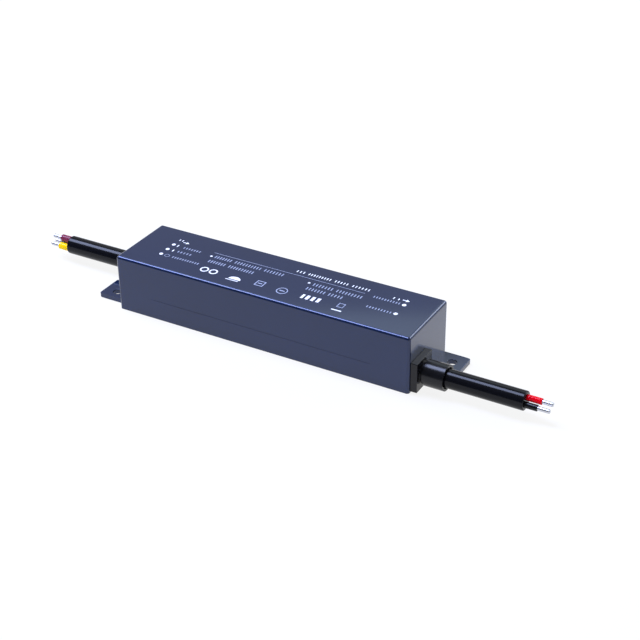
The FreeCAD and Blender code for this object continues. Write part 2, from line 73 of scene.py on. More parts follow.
# Finishes by material slot: name, colour, roughness, grain width and grain height in
# millimetres, settings of the pattern, and inputs of the shader. A grain that is said to
# be drawn coarser is too fine on the real thing to show in the render.
FINISHES = {
    # Metallic paint on a casting: deep blue flake under a clear coat, so the faces stay
    # dark, pale light lies on them as a soft sheen and the rounded edges shine. The grain
    # is the slight ripple of the coat, as wide as the real one
    "housing": (
        "metallic_paint_on_cast_aluminium", "12254B", 0.34, 0.9, 0.001,
        {"vary": 0.05, "rough_vary": 0.02, "patch_mm": 30.0},
        {"Metallic": 0.6, "Specular IOR Level": 0.0, "Coat Weight": 1.0,
         "Coat Roughness": 0.08},
    ),
    # Screen-printed epoxy ink: opaque white with a dull, slightly uneven face. The marks of
    # the mesh are drawn coarser
    "white_ink": (
        "screen_printed_white_ink", "F2F4F8", 0.45, 0.15, 0.002,
        {"vary": 0.04, "patch_mm": 3.0}, {},
    ),
    # The same ink in hairlines, where the paint dims it
    "thin_ink": (
        "thinly_printed_white_ink", "9CA5BF", 0.45, 0.15, 0.002,
        {"vary": 0.06, "patch_mm": 3.0}, {},
    ),
    # Rolled aluminium sheet: dull, with fine rolling lines along its length, drawn coarser
    "plate_metal": (
        "rolled_aluminium_sheet", "B9BBBF", 0.38, 0.25, 0.003,
        {"vary": 0.04, "stretch": (0.02, 1.0, 1.0)}, {"Metallic": 1.0},
    ),
    # Zinc plate on steel: bright and a little cloudy, warmer than the plate round it. Its
    # crystals are drawn coarser
    "screw_steel": (
        "zinc_plated_steel", "B4B3A8", 0.28, 0.4, 0.002, {"patch_mm": 1.5},
        {"Metallic": 1.0},
    ),
    # Nylon from a spark-eroded mould: black, with an even fine grain that dulls it, drawn
    # coarser
    "gland_plastic": (
        "moulded_black_nylon", "0E0F14", 0.22, 0.3, 0.0008, {"patch_mm": 4.0},
        {"IOR": 1.53, "Specular IOR Level": 0.3},
    ),
    # Nickel plate on turned brass: pale, slightly yellow, with turning lines round it,
    # drawn coarser
    "nut_metal": (
        "nickel_plated_brass", "C9C2AE", 0.22, 0.2, 0.002,
        {"vary": 0.04, "stretch": (1.0, 0.05, 0.05)}, {"Metallic": 1.0},
    ),
    # Nitrile rubber: matt black with a slight bloom, whose specks are drawn coarser
    "seal_rubber": (
        "moulded_nitrile_rubber", "1B1B1C", 0.7, 0.2, 0.004,
        {"vary": 0.15, "patch_mm": 3.0}, {},
    ),
    # Extruded PVC: glossy, with faint lines left along the cable by the die. On jackets and
    # cores alike they are drawn coarser
    "cable_jacket": (
        "extruded_black_pvc", "0A0B10", 0.15, 0.35, 0.0004,
        {"vary": 0.05, "rough_vary": 0.02, "stretch": (0.03, 1.0, 1.0)},
        {"IOR": 1.53, "Specular IOR Level": 0.19},
    ),
    # PVC with red pigment: a full, even colour with one sharp streak of light
    "core_red": (
        "extruded_red_pvc", "E80018", 0.12, 0.35, 0.0002,
        {"vary": 0.03, "rough_vary": 0.01, "stretch": (0.03, 1.0, 1.0)},
        {"IOR": 1.53, "Specular IOR Level": 0.12},
    ),
    # PVC with carbon black: deep and shiny, so that only its streak of light shows
    "core_black": (
        "extruded_black_insulation_pvc", "0C0C10", 0.15, 0.35, 0.0003,
        {"vary": 0.05, "rough_vary": 0.02, "stretch": (0.03, 1.0, 1.0)},
        {"IOR": 1.53, "Specular IOR Level": 0.25},
    ),
    # PVC with brown pigment: a dark, reddish colour under the same shine
    "core_brown": (
        "extruded_brown_pvc", "7A2C44", 0.2, 0.35, 0.0003,
        {"vary": 0.04, "rough_vary": 0.02, "stretch": (0.03, 1.0, 1.0)},
        {"IOR": 1.53, "Specular IOR Level": 0.2},
    ),
    # PVC with blue pigment: a clear, strong colour under the same shine
    "core_blue": (
        "extruded_blue_pvc", "1E5BB8", 0.2, 0.35, 0.0003,
        {"vary": 0.04, "rough_vary": 0.02, "stretch": (0.03, 1.0, 1.0)},
        {"IOR": 1.53, "Specular IOR Level": 0.2},
    ),
    # PVC with yellow pigment: the brightest core, turning golden in its own shade
    "core_yellow": (
        "extruded_yellow_pvc", "FFCC00", 0.2, 0.35, 0.0003,
        {"vary": 0.03, "rough_vary": 0.02, "stretch": (0.03, 1.0, 1.0)},
        {"IOR": 1.53, "Specular IOR Level": 0.16},
    ),
    # Copper strands dipped in solder: silver white, softly bright, smooth where it pooled
    "tinned_copper": (
        "solder_dipped_copper", "CDCED2", 0.24, 0.5, 0.0005,
        {"vary": 0.02, "patch_mm": 1.5}, {"Metallic": 0.85},
    ),
    # Polyester film: amber and glossy, with a faint waviness
    "insulation_film": (
        "stretched_polyester_film", "B98A3A", 0.15, 2.0, 0.003, {}, {"IOR": 1.64},
    ),
    # Natural nylon: milky white and silky, with a mould grain drawn coarser
    "spacer_nylon": (
        "moulded_natural_nylon", "E8E6DC", 0.45, 0.3, 0.004, {}, {"IOR": 1.53},
    ),
    # Poured polyurethane: dark grey and self-levelled, with shallow ripples
    "potting": (
        "cast_polyurethane", "3A3B3D", 0.4, 2.5, 0.02, {"patch_mm": 6.0}, {"IOR": 1.5},
    ),
    # Glass epoxy under green solder mask, the weave just showing through
    "board_laminate": (
        "glass_epoxy_laminate", "1E5E2E", 0.3, 0.5, 0.004, {}, {"IOR": 1.5},
    ),
    # Sintered ferrite: dark grey ceramic with a fine, sugary grain, drawn coarser
    "ferrite": (
        "sintered_ferrite", "3C3C40", 0.5, 0.15, 0.006, {"vary": 0.15}, {},
    ),
    # Enamelled copper wire, 0.5 mm thick, laid turn by turn: warm metal in fine bands
    "copper_winding": (
        "enamelled_copper_wire", "B8651F", 0.25, 0.5, 0.08, {"turn_mm": 0.5},
        {"Metallic": 0.9, "Coat Weight": 0.6},
    ),
    # Phenolic moulding: near black and dull, with a mould grain drawn coarser
    "bobbin_plastic": (
        "moulded_phenolic", "232022", 0.45, 0.25, 0.004, {}, {},
    ),
    # Shrunk polyester sleeve on an aluminium can: dark blue, tight and shiny
    "capacitor_sleeve": (
        "shrunk_polyester_sleeve", "1B2140", 0.18, 1.0, 0.004, {}, {"IOR": 1.57},
    ),
    # Moulded polyester box: yellow with a soft shine
    "film_capacitor_box": (
        "moulded_polyester", "D6A92B", 0.3, 0.4, 0.004, {}, {"IOR": 1.57},
    ),
    # Epoxy moulding compound: black with a dull, sandy face, its grain drawn coarser
    "device_moulding": (
        "epoxy_moulding_compound", "1C1C1D", 0.5, 0.12, 0.004, {"vary": 0.15}, {},
    ),
    # Polyamide moulding: black with a light grain, drawn coarser
    "fuse_moulding": (
        "moulded_polyamide", "222224", 0.4, 0.25, 0.004, {}, {"IOR": 1.53},
    ),
    # Ceramic disc dipped in blue epoxy: thick, glossy and slightly uneven
    "disc_coating": (
        "dipped_epoxy", "2360A8", 0.2, 1.2, 0.03, {}, {"IOR": 1.55},
    ),
    # Silicone filled with ceramic powder: grey, soft and dull, the powder drawn coarser
    "thermal_pad": (
        "filled_silicone", "9BA3A8", 0.6, 0.3, 0.006, {"vary": 0.12}, {"IOR": 1.43},
    ),
}

# Rows of plain blocks, by ink: first and last x, y and height, in millimetres
ROWS = {
    "white_ink": (
        (5.8, 9.4, 10.2, 1.9), (12.4, 24.0, 10.2, 1.9), (27.0, 33.4, 10.2, 1.9),
        (36.6, 45.2, 10.2, 1.9), (-63.2, -61.4, 9.6, 1.5), (59.0, 61.6, 9.4, 1.7),
    ),
    "thin_ink": (
        (-37.4, -28.6, 3.3, 2.4), (-25.6, -11.6, 3.3, 2.4), (-8.6, 1.3, 3.3, 2.4),
        (-38.0, -29.2, -1.8, 2.4), (-26.2, -12.8, -1.8, 2.4),
        (19.4, 29.2, 2.5, 2.4), (32.2, 45.0, 2.5, 2.4),
        (18.2, 27.6, -2.25, 2.4), (30.4, 37.0, -2.25, 2.4),
        (-56.6, -47.3, 3.7, 1.6), (-57.0, -49.8, -1.1, 1.6), (-56.2, -41.4, -7.0, 1.6),
        (50.2, 63.4, 6.0, 1.6), (51.4, 63.6, -3.4, 1.6),
    ),
}
# Single shapes, by ink: kind, middle x and y, width and height, in millimetres
MARKS = {
    "white_ink": (
        ("disc", -63.4, 4.15, 2.0, 2.0), ("disc", -63.4, -1.3, 2.0, 2.0),
        ("disc", -63.4, -6.9, 2.0, 2.0), ("disc", 66.1, 5.8, 2.1, 2.1),
        ("disc", 66.2, -3.2, 2.1, 2.1), ("disc", -39.8, 2.9, 1.3, 1.3),
        ("disc", 16.5, 2.8, 1.3, 1.3), ("arrow", -58.6, 8.4, 3.6, 2.0),
        ("arrow", 65.2, 9.8, 3.6, 2.4), ("bold_ring", -35.4, -10.0, 4.5, 4.6),
        ("bold_ring", -30.2, -10.0, 4.5, 4.6), ("dome", -17.2, -10.4, 6.6, 2.6),
        ("block", -18.0, -12.7, 7.0, 0.5), ("block", 20.2, -9.7, 1.3, 3.7),
        ("block", 22.9, -9.7, 1.6, 3.7), ("block", 25.8, -9.7, 1.6, 3.7),
        ("block", 28.7, -9.7, 1.6, 3.7), ("block", 40.4, -13.5, 5.2, 0.8),
        ("block", -60.6, 3.9, 0.6, 1.9), ("block", -60.0, -1.3, 0.6, 1.9),
    ),
    "thin_ink": (
        ("ring", -59.7, -7.05, 2.8, 2.6), ("frame", -4.0, -9.0, 4.7, 4.6),
        ("block", -4.0, -9.0, 2.4, 0.7), ("ring", 8.9, -10.0, 5.8, 5.8),
        ("block", 8.9, -10.0, 2.8, 0.7), ("frame", 40.4, -8.7, 3.4, 3.8),
        ("block", 2.2, 6.7, 85.3, 0.22),
    ),
}

# Lamps: name, place of the middle, direction of the long side, size in metres, power in
# watts and tint
LAMPS = (
    ("overhead strip", (-0.42, -0.03, 0.88), (1, 0, 0), (0.95, 0.44), 19.0,
     (0.56, 0.65, 1.0)),
    ("right panel", (0.56, 0.80, 0.56), (-0.82, 0.57, 0), (0.7, 0.4), 4.6,
     (0.88, 0.94, 1.0)),
    ("rear panel", (-0.293, 0.642, 0.656), (0.910, 0.414, 0), (0.7, 0.33), 0.6,
     (0.72, 0.92, 1.0)),
)


# Materials

def linear(hex_colour):
    """An sRGB colour written as six hex digits, as linear red, green, blue and alpha."""
    channels = [int(hex_colour[i:i + 2], 16) / 255 for i in (0, 2, 4)]
    curve = [c / 12.92 if c <= 0.04045 else ((c + 0.055) / 1.055) ** 2.4 for c in channels]
    return (*curve, 1.0)


def add(tree, kind, values=None, links=None, **settings):
    """Adds a node with its settings, the values of its free inputs and its links."""
    made = tree.nodes.new(kind)
    for key, value in settings.items():
        setattr(made, key, value)
    for key, value in (values or {}).items():
        made.inputs[key].default_value = value
    for key, socket in (links or {}).items():
        tree.links.new(socket, made.inputs[key])
    return made


def empty_tree(holder):
    """The cleared node tree of a new material or world."""
    holder.use_nodes = True
    holder.node_tree.nodes.clear()
    return holder.node_tree


def finish_of(slot):
    """The procedural material of a slot: grain as relief and gloss, and a drift of tone."""
    name, hex_colour, roughness, grain_mm, relief_mm, settings, shader = FINISHES[slot]
    if name in bpy.data.materials:
        return bpy.data.materials[name]
    pattern = {**PLAIN_PATTERN, **settings}
    colour = getattr(bpy.context.scene.supply_colours, slot, linear(hex_colour)[:3])
    made = bpy.data.materials.new(name)
    made.diffuse_color = (*colour, 1.0)
    tree = empty_tree(made)
    place = add(tree, "ShaderNodeTexCoord").outputs["Object"]
    drawn = add(tree, "ShaderNodeMapping", {"Scale": pattern["stretch"]},
                {"Vector": place}).outputs["Vector"]
    if "turn_mm" in pattern:
        # At a scale of 1, a wave texture runs through this many radians in one unit
        wave_radians = 20
        scale = math.tau / (wave_radians * pattern["turn_mm"] * MM)
        grain = add(tree, "ShaderNodeTexWave", {"Scale": scale}, {"Vector": drawn},
                    bands_direction="Z").outputs["Fac"]
    else:
        grain = add(tree, "ShaderNodeTexNoise",
                    {"Scale": 1 / (grain_mm * MM), "Detail": 3.0},
                    {"Vector": drawn}).outputs["Fac"]
    patch = add(tree, "ShaderNodeTexNoise",
                {"Scale": 1 / (pattern["patch_mm"] * MM), "Detail": 2.0}, {"Vector": place})
    tone = add(tree, "ShaderNodeValToRGB", links={"Fac": patch.outputs["Fac"]})
    # Most of the noise lies between these two stops
    stops = ((0.3, 1 - pattern["vary"]), (0.7, 1 + pattern["vary"]))
    for element, (at, share) in zip(tone.color_ramp.elements, stops):
        element.position = at
        element.color = (*(min(1.0, c * share) for c in colour), 1.0)
    rough_vary = pattern["rough_vary"]
    gloss = add(tree, "ShaderNodeMapRange",
                {"To Min": roughness - rough_vary, "To Max": roughness + rough_vary},
                {"Value": grain})
    relief = add(tree, "ShaderNodeBump", {"Distance": relief_mm * MM}, {"Height": grain})
    principled = add(tree, "ShaderNodeBsdfPrincipled", shader, {
        "Base Color": tone.outputs["Color"],
        "Roughness": gloss.outputs["Result"],
        "Normal": relief.outputs["Normal"],
    })
    add(tree, "ShaderNodeOutputMaterial", links={"Surface": principled.outputs["BSDF"]})
    return made


# Meshes

def finish_piece(name, mesh, slot, nodes=(), sharp_deg=35.0):
    """Makes a mesh a finished piece: shading, the finish of its slot as material, and its
    body.
    """
    mesh.materials.clear()
    mesh.materials.append(finish_of(slot))
    mesh.shade_smooth()
    mesh.set_sharp_from_angle(angle=math.radians(sharp_deg))
    piece = bpy.data.objects.new(name, mesh)
    bpy.context.scene.collection.objects.link(piece)
    weigh = piece.modifiers.new("flat faces lead", "WEIGHTED_NORMAL")
    weigh.keep_sharp = True
    weigh.weight = 100
    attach(piece, "root")
    if nodes:
        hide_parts(*nodes)
    return piece


def to_mesh(name, shape, unit=MM):
    """Turns a bmesh into a mesh, from millimetres to metres unless told otherwise."""
    bmesh.ops.scale(shape, vec=(unit, unit, unit), verts=shape.verts)
    mesh = bpy.data.meshes.new(name)
    shape.to_mesh(mesh)
    shape.free()
    return mesh


def circle(radius, count=RING):
    """Points round a circle, as pairs across its axis."""
    turns = (math.tau * k / count for k in range(count))
    return [(radius * math.cos(a), radius * math.sin(a)) for a in turns]


def square(half, corner=0.3, count=RING):
    """Points round a square with rounded corners, a third of them in the corners."""
    share = count // 12
    flat = half - corner
    side = [(half, flat * k / share) for k in range(share)]
    for k in range(share):
        a = math.pi / 2 * k / share
        side.append((flat + corner * math.cos(a), flat + corner * math.sin(a)))
    side += [(flat * (1 - k / share), half) for k in range(share)]
    quarters = ((1, 0), (0, 1), (-1, 0), (0, -1))
    return [(p * c - q * s, p * s + q * c) for c, s in quarters for p, q in side]


def plus(arm, half, count=RING):
    """Points round a plus sign, by direction from its middle."""
    points = []
    nearly_nought = 1e-6
    for k in range(count):
        a = math.tau * k / count
        off = (a + math.pi / 4) % (math.pi / 2) - math.pi / 4
        reach = min(arm / math.cos(off), half / max(abs(math.sin(off)), nearly_nought))
        points.append((reach * math.cos(a), reach * math.sin(a)))
    return points


def softened(profile, radius, steps=3, most=0.45):
    """A closed profile of (distance, size, outline) points with its corners rounded."""
    out = []
    for k, (x, size, outline) in enumerate(profile):
        here = Vector((x, size))
        before = Vector(profile[k - 1][:2]) - here
        after = Vector(profile[(k + 1) % len(profile)][:2]) - here
        # A corner takes up no more than this share of either side
        cut = min(radius, before.length * most, after.length * most)
        start = here + before.normalized() * cut
        end = here + after.normalized() * cut
        for step in range(steps + 1):
            t = step / steps
            point = start.lerp(here, t).lerp(here.lerp(end, t), t)
            out.append((point.x, outline(point.y)))
    return out


def rings_of(shape, loops, origin, along):
    """Adds a ring of points to a bmesh for each (distance, points) pair."""
    along = Vector(along)
    up = Vector((0, 0, 1)) if abs(along.z) < 0.5 else Vector((0, 1, 0))
    side = up.cross(along)
    return [
        [
            shape.verts.new(Vector(origin) + along * distance + side * p + up * q)
            for p, q in points
        ]
        for distance, points in loops
    ]


def band(shape, first, second):
    """Joins two rings with a band of faces."""
    for k, vert in enumerate(first):
        n = (k + 1) % len(first)
        shape.faces.new((vert, first[n], second[n], second[k]))


def turned(profile, origin, along, soften):
    """A closed ring of material from a closed profile with rounded corners."""
    shape = bmesh.new()
    rings = rings_of(shape, softened(profile, soften), origin, along)
    for k, ring in enumerate(rings):
        band(shape, rings[k - 1], ring)
    bmesh.ops.recalc_face_normals(shape, faces=shape.faces)
    return shape


def bar_with_bores(profile, bores, origin, along):
    """A solid along an open profile of (distance, radius), with round bores through it."""
    shape = bmesh.new()
    rings = rings_of(shape, [(x, circle(r)) for x, r in profile], origin, along)
    for first, second in zip(rings, rings[1:]):
        band(shape, first, second)
    ends = [[rings[0]], [rings[-1]]]
    for p, q, radius in bores:
        points = [(p + u, q + v) for u, v in circle(radius)]
        pair = [(profile[0][0], points), (profile[-1][0], points)]
        near, far = rings_of(shape, pair, origin, along)
        band(shape, near, far)
        ends[0].append(near)
        ends[1].append(far)
    for group in ends:
        rim = [
            shape.edges.get((ring[k - 1], vert))
            for ring in group for k, vert in enumerate(ring)
        ]
        bmesh.ops.triangle_fill(shape, use_beauty=True, edges=rim)
    bmesh.ops.recalc_face_normals(shape, faces=shape.faces)
    return shape


def rounded_end(length, radius, rounding, steps=4):
    """A rod's profile with its far end rounded."""
    points = [(0.0, radius)]
    for k in range(steps + 1):
        a = math.pi / 2 * k / steps
        across = radius - rounding + rounding * math.cos(a)
        points.append((length - rounding + rounding * math.sin(a), across))
    return points


def prism(outer, inner=()):
    """A flat shape one unit thick, from its outline and the outline of its opening."""
    shape = bmesh.new()
    outlines = [outline for outline in (outer, inner) if outline]
    rings = [
        [shape.verts.new((x, y, z)) for x, y in outline]
        for outline in outlines for z in (0.0, 1.0)
    ]
    band(shape, rings[0], rings[1])
    if inner:
        band(shape, rings[2], rings[3])
        band(shape, rings[0], rings[2])
        band(shape, rings[1], rings[3])
    else:
        shape.faces.new(rings[0])
        shape.faces.new(rings[1])
    bmesh.ops.recalc_face_normals(shape, faces=shape.faces)
    return shape


def rod(node):
    """A round CAD node along X, in millimetres: its axis, radius, low end and high end."""
    low, high = (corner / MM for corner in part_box(node))
    middle = ((low.y + high.y) / 2, (low.z + high.z) / 2)
    return middle, (high.y - low.y) / 2, low.x, high.x


def end_face():
    """How far the housing's end faces lie from its middle, in millimetres."""
    wall_past_plate = 1.1
    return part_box("base_plate")[1].x / MM + wall_past_plate


# Geometry node trees

def node_tree(name, inputs):
    """A geometry node tree with named inputs: the tree, its entry and its inputs' keys."""
    tree = bpy.data.node_groups.new(name, "GeometryNodeTree")
    tree.interface.new_socket("Geometry", in_out="INPUT", socket_type="NodeSocketGeometry")
    keys = {}
    for label, kind in inputs.items():
        socket = tree.interface.new_socket(
            label, in_out="INPUT", socket_type="NodeSocket" + kind,
        )
        keys[label] = socket.identifier
    tree.interface.new_socket("Geometry", in_out="OUTPUT", socket_type="NodeSocketGeometry")
    return tree, add(tree, "NodeGroupInput").outputs, keys


def close_tree(tree, geometry, material):
    """Ends a tree in real meshes with their material."""
    real = add(tree, "GeometryNodeRealizeInstances", links={"Geometry": geometry})
    dressed = add(tree, "GeometryNodeSetMaterial", links={
        "Geometry": real.outputs["Geometry"], "Material": material,
    })
    add(tree, "NodeGroupOutput", links={"Geometry": dressed.outputs["Geometry"]})


def put_on_points(tree, points, entry):
    """Ends a tree in the shape at its size on each point."""
    taken = add(tree, "GeometryNodeObjectInfo", {"As Instance": True},
                {"Object": entry["Shape"]})
    put = add(tree, "GeometryNodeInstanceOnPoints", links={
        "Points": points, "Instance": taken.outputs["Geometry"], "Scale": entry["Size"],
    })
    close_tree(tree, put.outputs["Instances"], entry["Material"])


def shapes_on_points():
    """A tree that sets one shape on each point."""
    tree, entry, keys = node_tree("one shape on each point", {
        "Shape": "Object", "Size": "Vector", "Material": "Material",
    })
    put_on_points(tree, entry["Geometry"], entry)
    return tree, keys


def shapes_in_rows():
    """A tree that sets shapes at one pitch along each edge."""
    tree, entry, keys = node_tree("shapes in rows", {
        "Shape": "Object", "Pitch": "Float", "Size": "Vector", "Material": "Material",
    })
    line = add(tree, "GeometryNodeMeshToCurve", links={"Mesh": entry["Geometry"]})
    points = add(tree, "GeometryNodeCurveToPoints", mode="LENGTH", links={
        "Curve": line.outputs["Curve"], "Length": entry["Pitch"],
    })
    put_on_points(tree, points.outputs["Points"], entry)
    return tree, keys


def twisted_strands():
    """A tree that draws shallow grooves along and round a rod, where its "bare" is 1."""
    tree, entry, keys = node_tree("twisted strands", {
        "Strands": "Int", "Relief": "Float", "Lay": "Float", "Axis": "Vector",
        "Material": "Material",
    })
    place = add(tree, "GeometryNodeInputPosition").outputs["Position"]
    out = add(tree, "ShaderNodeVectorMath", links={0: place, 1: entry["Axis"]},
              operation="SUBTRACT").outputs["Vector"]
    parts = add(tree, "ShaderNodeSeparateXYZ", links={"Vector": out}).outputs
    angle = add(tree, "ShaderNodeMath", links={0: parts["Z"], 1: parts["Y"]},
                operation="ARCTAN2").outputs[0]
    laid = add(tree, "ShaderNodeMath", links={0: parts["X"], 1: entry["Lay"]},
               operation="DIVIDE").outputs[0]
    turn = add(tree, "ShaderNodeMath", {1: math.tau}, {0: laid, 2: angle},
               operation="MULTIPLY_ADD").outputs[0]
    phase = add(tree, "ShaderNodeMath", links={0: turn, 1: entry["Strands"]},
                operation="MULTIPLY").outputs[0]
    wave = add(tree, "ShaderNodeMath", links={0: phase}, operation="COSINE").outputs[0]
    # Half the wave less a half is 0 on a strand's back and -1 between two strands
    dip = add(tree, "ShaderNodeMath", {1: 0.5, 2: -0.5}, {0: wave},
              operation="MULTIPLY_ADD").outputs[0]
    bare = add(tree, "GeometryNodeInputNamedAttribute", {"Name": "bare"},
               data_type="FLOAT").outputs["Attribute"]
    share = add(tree, "ShaderNodeMath", links={0: dip, 1: bare},
                operation="MULTIPLY").outputs[0]
    depth = add(tree, "ShaderNodeMath", links={0: share, 1: entry["Relief"]},
                operation="MULTIPLY").outputs[0]
    normal = add(tree, "GeometryNodeInputNormal").outputs["Normal"]
    shift = add(tree, "ShaderNodeVectorMath", links={0: normal, "Scale": depth},
                operation="SCALE").outputs["Vector"]
    moved = add(tree, "GeometryNodeSetPosition", links={
        "Geometry": entry["Geometry"], "Offset": shift,
    })
    close_tree(tree, moved.outputs["Geometry"], entry["Material"])
    return tree, keys


def grown(name, base, tree_and_keys, values):
    """The plain mesh that a tree makes from a base mesh."""
    tree, keys = tree_and_keys
    holder = bpy.data.objects.new(name, base)
    bpy.context.scene.collection.objects.link(holder)
    modifier = holder.modifiers.new("grow", "NODES")
    modifier.node_group = tree
    for label, value in values.items():
        modifier[keys[label]] = value
    graph = bpy.context.evaluated_depsgraph_get()
    mesh = bpy.data.meshes.new_from_object(holder.evaluated_get(graph))
    mesh.name = name
    bpy.data.objects.remove(holder)
    return mesh


# Settings

def length_property(label, millimetres, about):
    """A length that a user can change, with its default in millimetres."""
    return bpy.props.FloatProperty(
        name=label, default=millimetres * MM, min=0.0, unit="LENGTH", precision=5,
        description=about,
    )


def colour_property(label, slot, about):
    """A colour that a user can change, with its default from the slot's finish."""
    return bpy.props.FloatVectorProperty(
        name=label, default=linear(FINISHES[slot][1])[:3], min=0.0, max=1.0, size=3,
        subtype="COLOR", description=about,
    )


class SupplySizes(bpy.types.PropertyGroup):
    """Sizes of the details that the CAD model leaves out"""

    edge_break: length_property("Edge break", 0.25, "Rounding of the ears' edges")
    groove_depth: length_property("Groove depth", 0.09, "Depth of the line in the front")
    gland_edge: length_property("Gland edge", 0.16, "Rounding of the glands' edges")
    jacket_edge: length_property("Jacket edge", 0.55, "Rounding of a jacket's cut end")
    core_edge: length_property("Core edge", 0.35, "Rounding of a core's cut end")
    tip_edge: length_property("Tip edge", 0.45, "Rounding of a bare tip")
    strand_relief: length_property("Strand relief", 0.006, "Depth between two strands")
    strand_lay: length_property("Strand lay", 16.0, "Length in which a strand turns once")
    strands: bpy.props.IntProperty(
        name="Strands", default=12, min=3, max=40,
        description="Number of strands that show round a bare tip",
    )
    ink_height: length_property("Ink height", 0.02, "Height of the print above the paint")
    block_pitch: length_property("Block pitch", 1.45, "Distance between blocks of a row")
    block_width: length_property("Block width", 0.50, "Width of a block of a row")


class SupplyColours(bpy.types.PropertyGroup):
    """Colours of the pieces that show"""

    housing: colour_property("Paint", "housing", "Flake of the housing's paint")
    white_ink: colour_property("Print", "white_ink", "Print where it is thick")
    thin_ink: colour_property("Thin print", "thin_ink", "Print where it is thin")
    gland_plastic: colour_property("Glands", "gland_plastic", "Nylon of the glands")
    cable_jacket: colour_property("Jackets", "cable_jacket", "Outside of both cables")
    core_red: colour_property("Red core", "core_red", "Output core")
    core_black: colour_property("Black core", "core_black", "Output core")
    core_brown: colour_property("Brown core", "core_brown", "Input core")
    core_blue: colour_property("Blue core", "core_blue", "Input core")
    core_yellow: colour_property("Yellow core", "core_yellow", "Input core")


# Pieces

class SUPPLY_OT_housing(bpy.types.Operator):
    """Makes the painted housing from the CAD shape, with broken edges on its ears"""

    bl_idname = "supply.housing"
    bl_label = "Housing"

    def execute(self, context):
        sizes = context.scene.supply_sizes
        same_point = 0.002 * MM
        flat_turn = math.radians(0.5)
        clear_of_end = 0.1 * MM

        shape = bmesh.new()
        shape.from_mesh(NODES["housing"].data)
        bmesh.ops.remove_doubles(shape, verts=shape.verts, dist=same_point)
        bmesh.ops.dissolve_limit(
            shape, angle_limit=flat_turn, verts=shape.verts, edges=shape.edges,
        )
        self.raise_groove(shape, sizes.groove_depth)
        beyond = end_face() * MM + clear_of_end
        edges = [edge for edge in shape.edges if self.on_ear(edge, beyond)]
        if not edges:
            raise RuntimeError("the ears' edges weren't found")
        bmesh.ops.bevel(
            shape, geom=edges, offset=sizes.edge_break, segments=3,
            profile=0.5, affect="EDGES", clamp_overlap=True,
        )
        mesh = to_mesh("housing_casting", shape, 1.0)
        finish_piece("housing_casting", mesh, "housing", ["housing"])
        return {"FINISHED"}

    def raise_groove(self, shape, depth):
        """Brings the floor of the front's groove up, so that it shows as a faint line."""
        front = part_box("housing")[0].y
        floor_from, floor_to = 0.2 * MM, 0.3 * MM
        half_length = 70.0 * MM
        for vert in shape.verts:
            on_floor = front + floor_from < vert.co.y < front + floor_to
            if on_floor and abs(vert.co.x) < half_length:
                vert.co.y = front + depth

    def on_ear(self, edge, beyond):
        """Whether an edge is a sharp one round the top or the foot of an ear."""
        ear_top = 2.6 * MM
        near = 0.03 * MM
        sharp_turn = math.radians(40)
        places = [vert.co for vert in edge.verts]
        if any(abs(place.x) < beyond for place in places):
            return False
        level = any(
            all(abs(place.z - z) < near for place in places) for z in (0.0, ear_top)
        )
        return level and len(edge.link_faces) == 2 and edge.calc_face_angle() > sharp_turn


class SUPPLY_OT_print(bpy.types.Operator):
    """Makes the print on the lid: plain blocks, discs, rings and arrows of white ink"""

    bl_idname = "supply.print"
    bl_label = "Print"

    def execute(self, context):
        sizes = context.scene.supply_sizes
        shapes = {
            kind: bpy.data.objects.new(kind, to_mesh(kind, shape, 1.0))
            for kind, shape in self.shapes().items()
        }
        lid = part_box("housing")[1].z
        in_rows = shapes_in_rows()
        on_points = shapes_on_points()
        for slot in ("white_ink", "thin_ink"):
            joined = bmesh.new()
            for start, end, y, height in ROWS[slot]:
                base = bpy.data.meshes.new("row")
                ends = [(start * MM, y * MM, lid), (end * MM, y * MM, lid)]
                base.from_pydata(ends, [(0, 1)], [])
                joined.from_mesh(grown("row", base, in_rows, {
                    "Shape": shapes["block"], "Pitch": sizes.block_pitch,
                    "Size": (sizes.block_width, height * MM, sizes.ink_height),
                    "Material": finish_of(slot),
                }))
            for kind, x, y, width, height in MARKS[slot]:
                base = bpy.data.meshes.new("mark")
                base.from_pydata([(x * MM, y * MM, lid)], [], [])
                joined.from_mesh(grown("mark", base, on_points, {
                    "Shape": shapes[kind],
                    "Size": (width * MM, height * MM, sizes.ink_height),
                    "Material": finish_of(slot),
                }))
            name = slot + "_print"
            finish_piece(name, to_mesh(name, joined, 1.0), slot)
        for shape in shapes.values():
            bpy.data.objects.remove(shape)
        return {"FINISHED"}

    def shapes(self):
        """The plain shapes of the print, each one unit across."""
        half = 0.5
        line_within, bold_within, frame_within = 0.42, 0.34, 0.8
        shaft, barbs = 0.12, 0.05
        block = [(-half, -half), (half, -half), (half, half), (-half, half)]
        arrow = [
            (-half, -shaft), (barbs, -shaft), (barbs, -half), (half, 0.0),
            (barbs, half), (barbs, shaft), (-half, shaft),
        ]
        count = 48
        outside = circle(half, count)
        upper = outside[:count // 2 + 1]
        return {
            "block": prism(block),
            "disc": prism(circle(half, 32)),
            "ring": prism(outside, circle(line_within, count)),
            "bold_ring": prism(outside, circle(bold_within, count)),
            "frame": prism(block, [(frame_within * x, frame_within * y) for x, y in block]),
            "arrow": prism(arrow),
            "dome": prism([(x, 2 * y - half) for x, y in upper]),
        }


